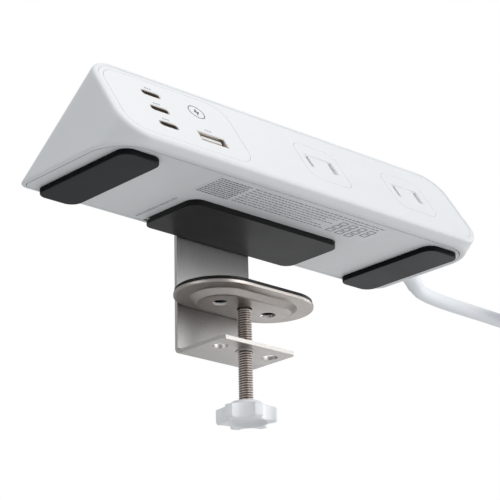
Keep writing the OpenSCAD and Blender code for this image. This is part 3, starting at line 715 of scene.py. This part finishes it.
def make_pressure_plate():
    """A pressed plate: flat flange, soft-shouldered dish, holes for the screw's neck and two more."""
    half0 = (63.4 - 35.9) / 2
    zt = -27.6
    # (half length of the straight part, radius, z) down the underside from the rim to the middle
    under = [(half0, 17.95, zt - 0.35), (half0, 17.95, zt - 1.15), (half0, 17.86, zt - 1.36), (half0, 17.62, zt - 1.5), (half0, 16.6, zt - 1.5), (half0 - 0.4, 14.6, zt - 1.5)]
    # a small fillet at the foot, a straight flank and a small radius at the shoulder
    under += [(12.1, 13.3, zt - 1.5), (12.05, 12.95, zt - 1.52), (12.0, 12.65, zt - 1.6), (11.95, 12.4, zt - 1.78)]
    under += [(11.8, 11.9, zt - 2.3), (11.6, 11.4, zt - 2.85), (11.45, 10.95, zt - 3.4)]
    under += [(11.4, 10.7, zt - 3.62), (11.35, 10.4, zt - 3.78), (11.3, 10.05, zt - 3.87), (11.25, 9.65, zt - 3.9), (11.2, 8.4, zt - 3.9), (11.2, 6.0, zt - 3.9)]
    top = [(12.0, 6.0, zt - 2.5), (12.0, 8.0, zt - 2.5)]
    for t in [k / 10 for k in range(11)]:
        s = t * t * (3 - 2 * t)
        top.append((12.0 + 0.6 * t, 8.7 + 3.3 * t, zt - 2.5 + 2.5 * s))
    top += [(half0 - 0.4, 14.6, zt), (half0, 16.6, zt), (half0, 17.7, zt), (half0, 17.88, zt - 0.1)]
    bm = bmesh.new()
    rows = [[bm.verts.new(Vector((x, y, z)) * MM) for x, y in stadium_ring(h, r)] for h, r, z in under]
    rows_t = [[bm.verts.new(Vector((x, y, z)) * MM) for x, y in stadium_ring(h, r)] for h, r, z in top]
    bridge(bm, rows)
    bridge(bm, rows_t)
    bridge(bm, [rows_t[-1], rows[0]])
    bm.faces.new(rows[-1])
    bm.faces.new(rows_t[0])
    bmesh.ops.recalc_face_normals(bm, faces=bm.faces[:])
    me = bpy.data.meshes.new("cutters")
    o = finish_mesh("pressure_plate_pressing", bm, mat("steel_p"), "pressure_foot", 38.0)
    cut = bmesh.new()
    for x, r in ((0.0, 3.1), (-12.8, 2.7), (12.8, 2.7)):
        # one closed outline turned about the hole's axis: straight bore, wide mouth below
        prof = [(-36.0, 3.25 if x else r), (-31.5, 3.25 if x else r), (-31.42, 3.2 if x else r), (-30.75, r + 0.02), (-30.6, r), (-24.0, r)]
        rows = [[cut.verts.new(Vector((x + q * math.cos(2 * math.pi * k / 64), q * math.sin(2 * math.pi * k / 64), z)) * MM) for k in range(64)] for z, q in prof]
        bridge(cut, rows)
        cut.faces.new(rows[0])
        cut.faces.new(rows[-1])
    bmesh.ops.recalc_face_normals(cut, faces=cut.faces[:])
    cut.to_mesh(me)
    cut.free()
    c = bpy.data.objects.new("cutters", me)
    scene.collection.objects.link(c)
    md = o.modifiers.new("holes", "BOOLEAN")
    md.operation = "DIFFERENCE"
    md.solver = "EXACT"
    md.object = c
    bpy.context.view_layer.update()
    dg = bpy.context.evaluated_depsgraph_get()
    new = bpy.data.meshes.new_from_object(o.evaluated_get(dg))
    o.modifiers.clear()
    o.data = new
    bpy.data.objects.remove(c)
    # the mouths of the holes take the paler, smoother steel, whose paler colour is a painted highlight
    bm = bmesh.new()
    bm.from_mesh(new)
    bmesh.ops.remove_doubles(bm, verts=bm.verts[:], dist=2e-6)
    for f in bm.faces:
        f.smooth = True
        c = f.calc_center_median()
        d = min(math.hypot(c.x - x * MM, c.y) for x in (-12.8, 12.8))
        if d < 3.3 * MM and abs(f.normal.z) < 0.9 and len(f.verts) < 8:
            f.material_index = 1
    for e in bm.edges:
        e.smooth = not (len(e.link_faces) == 2 and e.calc_face_angle(0.0) > math.radians(32))
    bm.to_mesh(new)
    bm.free()
    # slot 1: the paler steel, a painted highlight in the hole mouths
    new.materials.append(mat("bright"))
    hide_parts("pressure_plate")
    wn = o.modifiers.new("weighted", "WEIGHTED_NORMAL")
    wn.keep_sharp = True
    return o


pressure = make_pressure_plate()


# ------------------------------------------------------------------ clamp screw with its thread
def make_screw():
    """M6 coarse thread of 1 mm pitch, right-handed, with a plain neck above it."""
    bm = bmesh.new()
    n_ang, dz = 48, 0.1
    z0, z1 = -74.0, -31.8
    rows = []
    zs = np.arange(z0, z1 + 1e-6, dz)

    def prof(f):
        # crest flat, flank, root, flank
        f = f % 1.0
        if f < 0.14:
            return 1.0
        if f < 0.50:
            return 1.0 - (f - 0.14) / 0.36
        if f < 0.64:
            return 0.0
        return (f - 0.64) / 0.36

    for z in zs:
        row = []
        fade = min(1.0, max(0.0, (z1 - z) / 0.9))
        for k in range(n_ang):
            a = 2 * math.pi * k / n_ang
            r = 2.40 + 0.54 * prof(z - k / n_ang) * fade
            row.append(bm.verts.new(Vector((r * math.cos(a), r * math.sin(a), z)) * MM))
        rows.append(row)
    for r, z in ((2.22, -31.75), (2.22, -29.9), (2.15, -29.82)):
        rows.append([bm.verts.new(Vector((r * math.cos(2 * math.pi * k / n_ang), r * math.sin(2 * math.pi * k / n_ang), z)) * MM) for k in range(n_ang)])
    bridge(bm, rows)
    bm.faces.new(rows[0])
    bm.faces.new(rows[-1])
    return finish_mesh("clamp_screw_thread", bm, mat("thread"), "screw", 60.0, ("clamp_screw",))


screw = make_screw()


# ------------------------------------------------------------------ knob
def make_knob():
    """A six-lobed knob with hollow curves between its lobes, a turned collar and a dished underside."""
    n = 360
    phase = 12.0
    C, RC = 13.89, 5.09

    def outline(theta, tip, grow, k):
        """Radius at an angle: the valleys' arcs and the tips' circle, blended at the corners."""
        d = (theta - math.radians(phase + 30) + math.pi / 6) % (math.pi / 3) - math.pi / 6
        rc = RC + grow
        q = C * math.sin(d)
        valley = C * math.cos(d) - math.sqrt(rc * rc - q * q) if abs(q) < rc else 40.0
        return -math.log(math.exp(-k * valley) + math.exp(-k * tip)) / k

    def ring(z, tip, grow=0.0, k=3.2):
        pts = []
        for i in range(n):
            a = 2 * math.pi * i / n
            r = outline(a, tip, grow, k)
            # the upper face rises towards the collar
            zz = z(r) if callable(z) else z
            pts.append(Vector((r * math.cos(a), r * math.sin(a), zz)) * MM)
        return pts

    def circle(z, r):
        return [Vector((r * math.cos(2 * math.pi * k / n), r * math.sin(2 * math.pi * k / n), z)) * MM for k in range(n)]

    def top(off):
        return lambda r: -73.0 + (12.05 - r) * 0.24 - off

    T = 12.08
    seq = [circle(-70.75, 3.05), circle(-70.35, 3.25), circle(-70.22, 3.6), circle(-70.2, 4.9), circle(-70.24, 5.5), circle(-70.42, 6.0), circle(-70.75, 6.38), circle(-71.15, 6.6)]
    seq += [circle(-71.5, 6.75), circle(-71.72, 6.92), circle(-71.85, 7.2)]
    seq += [ring(top(0.0), 9.6, 0.9, 2.2), ring(top(0.0), T - 1.0, 0.62), ring(top(0.04), T - 0.55, 0.34), ring(top(0.14), T - 0.25, 0.14), ring(top(0.32), T - 0.06, 0.02), ring(top(0.6), T, 0.0)]
    seq += [ring(-74.6, T), ring(-76.2, T), ring(-77.5, T - 0.02), ring(-77.95, T - 0.08, 0.03), ring(-78.25, T - 0.26, 0.12), ring(-78.43, T - 0.55, 0.28), ring(-78.5, T - 0.95, 0.5)]
    seq += [circle(-78.5, 8.1), circle(-78.47, 7.95), circle(-78.36, 7.8), circle(-78.1, 7.68), circle(-77.3, 7.5), circle(-76.6, 7.3), circle(-76.2, 6.9), circle(-76.0, 6.1), circle(-75.92, 4.2), circle(-75.9, 1.4)]
    bm = bmesh.new()
    rows = [[bm.verts.new(p) for p in r] for r in seq]
    bridge(bm, rows)
    bm.faces.new(rows[0])
    bm.faces.new(rows[-1])
    return finish_mesh("clamp_knob_star", bm, mat("knob"), "screw", 45.0, ("clamp_knob",))


knob = make_knob()


# ------------------------------------------------------------------ strain relief at the end wall
def make_boot():
    """A tapered vinyl sleeve that leaves the end wall and bends to the cord's line."""
    a = EXIT_P + np.array((-1.2, 0, 0))
    p = [a, a + np.array((2.4, 0.15, -0.1)), EXIT_P + np.array((2.3, 0.1, -0.1)) + 1.6 * EXIT_D, EXIT_P + np.array((2.5, 0.05, 0.0)) + 5.5 * EXIT_D, BOOT_END - 3.2 * EXIT_D, BOOT_END]
    pts = [Vector(q * MM) for q in smooth_path(p, 5)]
    m = len(pts)

    def rad(i):
        t = i / (m - 1)
        r = 4.4 - 0.85 * t ** 0.9
        if t < 0.10:
            r = 4.5
        if i == m - 1:
            r = 3.26
        if i == m - 2:
            r -= 0.06
        return r * MM

    o = tube("cord_sleeve", pts, rad, mat("cord"), 36)
    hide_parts("strain_relief")
    return o


boot = make_boot()


# ------------------------------------------------------------------ label and printed marks
def slab(bm, quad, thick, normal):
    """A thin closed slab: a four-sided outline pushed out along normal."""
    n = Vector(normal).normalized() * thick
    low = [bm.verts.new(Vector(p)) for p in quad]
    high = [bm.verts.new(Vector(p) + n) for p in quad]
    bm.faces.new(low)
    bm.faces.new(high)
    for k in range(4):
        bm.faces.new((low[k], low[(k + 1) % 4], high[(k + 1) % 4], high[k]))


label = from_cad("rating_label", "underside_label", mat("film"), 0.04, 1)


def under_bar(bm, x0, y0, x1, y1, z=2.28, t=0.03):
    q = [Vector((x0, y0, z)) * MM, Vector((x1, y0, z)) * MM, Vector((x1, y1, z)) * MM, Vector((x0, y1, z)) * MM]
    slab(bm, q, t * MM, (0, 0, -1))


def make_label_marks():
    """Plain ruled bars and a blank block, with no lettering."""
    bm = bmesh.new()
    rng = np.random.default_rng(7)
    # block of short ticks at the left end
    for j in range(10):
        y = -36.5 + j * 1.6
        x = -43.4
        while x < -27.6:
            w = float(rng.uniform(0.5, 1.5))
            under_bar(bm, x, y, min(x + w, -27.4), y + 0.72)
            x += w + 0.38
    # ruled lines over the middle and the right
    for j, end in enumerate([45.8, 44.0, 22.5, 18.0, 23.0, 14.0, 20.5, 23.5]):
        y = -36.5 + j * 2.0
        x = -25.8
        while x < end:
            w = float(rng.uniform(0.7, 2.6))
            under_bar(bm, x, y, min(x + w, end), y + 0.5)
            x += w + 0.55
    # empty boxes at the right
    for j in range(3):
        for i in range(4 - (j == 2)):
            x, y = 25.6 + i * 5.3, -32.4 + j * 3.9
            under_bar(bm, x, y, x + 3.5, y + 0.42)
            under_bar(bm, x, y + 2.7, x + 3.5, y + 3.1)
            under_bar(bm, x, y + 0.42, x + 0.42, y + 2.7)
            under_bar(bm, x + 3.08, y + 0.42, x + 3.5, y + 2.7)
    return finish_mesh("label_ruled_marks", bm, mat("ink"), "strip", 40.0)


make_label_marks()


def make_cover_ticks():
    """A short column of plain ticks on the bare cover, left of the clamp pad."""
    bm = bmesh.new()
    rng = np.random.default_rng(11)
    y = -10.3
    while y < 14.2:
        w = float(rng.uniform(0.6, 1.6))
        x = -44.4 + float(rng.uniform(0.0, 0.3))
        under_bar(bm, x, y, -42.9, y + w, 2.4, 0.02)
        y += w + 0.5
    return finish_mesh("cover_tick_column", bm, mat("ink_pale"), "strip", 40.0)


make_cover_ticks()


def panel_bar(bm, x0, v0, x1, v1, n=-0.25, t=0.03):
    slab(bm, [panel_pt(x0, v0, n), panel_pt(x1, v0, n), panel_pt(x1, v1, n), panel_pt(x0, v1, n)], t * MM, panel_pt(0, 0, 1) - panel_pt(0, 0, 0))


def make_port_marks():
    """One small bar over each port and a plain block mark, with no lettering."""
    bm = bmesh.new()
    for v in (33, 23.2, 13.4):
        for k in range(3):
            panel_bar(bm, -72.5 + k * 1.2, v + 3.0, -71.7 + k * 1.2, v + 3.9)
    for k in range(3):
        panel_bar(bm, -50.7 + k * 1.2, 18.4, -49.9 + k * 1.2, 19.3)
    return finish_mesh("port_marks", bm, mat("ink_pale"), "strip", 40.0)


make_port_marks()


def make_bolt_mark():
    """A plain lightning bolt inside a ring, raised a hair off the face."""
    bm = bmesh.new()
    cx, cv, n0, n1 = -49.0, 31.0, -0.25, -0.21

    def prism(poly):
        low = [bm.verts.new(panel_pt(x, v, n0)) for x, v in poly]
        high = [bm.verts.new(panel_pt(x, v, n1)) for x, v in poly]
        bm.faces.new(low)
        bm.faces.new(high)
        m = len(poly)
        for k in range(m):
            bm.faces.new((low[k], low[(k + 1) % m], high[(k + 1) % m], high[k]))

    bolt = [(0.5, 2.6), (-1.5, -0.35), (-0.1, -0.35), (-0.5, -2.6), (1.5, 0.45), (0.1, 0.45)]
    prism([(cx + x, cv + v) for x, v in bolt])
    m = 64
    rings = [[bm.verts.new(panel_pt(cx + r * math.cos(2 * math.pi * k / m), cv + r * math.sin(2 * math.pi * k / m), n)) for k in range(m)] for r, n in ((3.6, n0), (4.0, n0), (4.0, n1), (3.6, n1))]
    bridge(bm, rings, close_rows=True)
    return finish_mesh("face_bolt_mark", bm, mat("ink"), "strip", 40.0)


make_bolt_mark()


# ------------------------------------------------------------------ carried CAD nodes that still show
fallback = {"label_film": "film"}
for name, node in NODES.items():
    if not node.hide_render:
        node.data.materials.clear()
        node.data.materials.append(mat(fallback.get(SLOTS[name], "housing")))


# ------------------------------------------------------------------ studio
def make_floor():
    bm = bmesh.new()
    s, z = 6.0, -0.95
    n = 24
    grid = [[bm.verts.new((-s + 2 * s * i / n, -s + 2 * s * j / n, z)) for i in range(n + 1)] for j in range(n + 1)]
    for j in range(n):
        for i in range(n):
            bm.faces.new((grid[j][i], grid[j][i + 1], grid[j + 1][i + 1], grid[j + 1][i]))
    me = bpy.data.meshes.new("studio_floor")
    bm.to_mesh(me)
    bm.free()
    m = Mat("floor_pale_paper", rough=0.9, spec=0.1)
    m.color(m.ramp(m.noise(2.0, 2.0), [(0.3, (0.70, 0.70, 0.70)), (0.8, (0.72, 0.72, 0.72))]))
    me.materials.append(m.m)
    o = bpy.data.objects.new("studio_floor", me)
    scene.collection.objects.link(o)


make_floor()


def area(name, loc, target, size, power, color=(1, 1, 1), size_y=None):
    data = bpy.data.lights.new(name, "AREA")
    data.shape = "RECTANGLE"
    data.size = size
    data.size_y = size_y or size
    data.energy = power
    data.color = color
    o = bpy.data.objects.new(name, data)
    o.location = loc
    o.rotation_euler = (Vector(target) - Vector(loc)).to_track_quat("-Z", "Y").to_euler()
    o.visible_camera = False
    scene.collection.objects.link(o)
    return o


def make_lights():
    world = bpy.data.worlds.new("studio")
    world.use_nodes = True
    t = world.node_tree
    t.nodes.clear()
    out = t.nodes.new("ShaderNodeOutputWorld")
    mixer = t.nodes.new("ShaderNodeMixShader")
    lit = t.nodes.new("ShaderNodeBackground")
    seen = t.nodes.new("ShaderNodeBackground")
    ray = t.nodes.new("ShaderNodeLightPath")
    lit.inputs["Color"].default_value = (0.96, 0.98, 1.0, 1)
    lit.inputs["Strength"].default_value = 0.44
    seen.inputs["Color"].default_value = (1, 1, 1, 1)
    seen.inputs["Strength"].default_value = 1.0
    t.links.new(ray.outputs["Is Camera Ray"], mixer.inputs["Fac"])
    t.links.new(lit.outputs[0], mixer.inputs[1])
    t.links.new(seen.outputs[0], mixer.inputs[2])
    t.links.new(mixer.outputs[0], out.inputs["Surface"])
    scene.world = world
    area("key_front", (0.45, -1.5, 0.42), (0, 0, 0), 1.3, 12.2)
    area("top", (0.1, 0.1, 1.5), (0, 0, 0), 1.6, 9.2)
    area("right", (1.5, -0.5, 0.05), (0.05, 0, 0), 1.1, 9.5)
    area("left", (-1.4, 0.1, 0.62), (0, 0, 0), 0.9, 4.0)
    area("behind_low", (1.25, 0.9, -0.72), (0.03, 0, -0.02), 0.8, 1.3)


make_lights()
scene.view_settings.view_transform = "Standard"
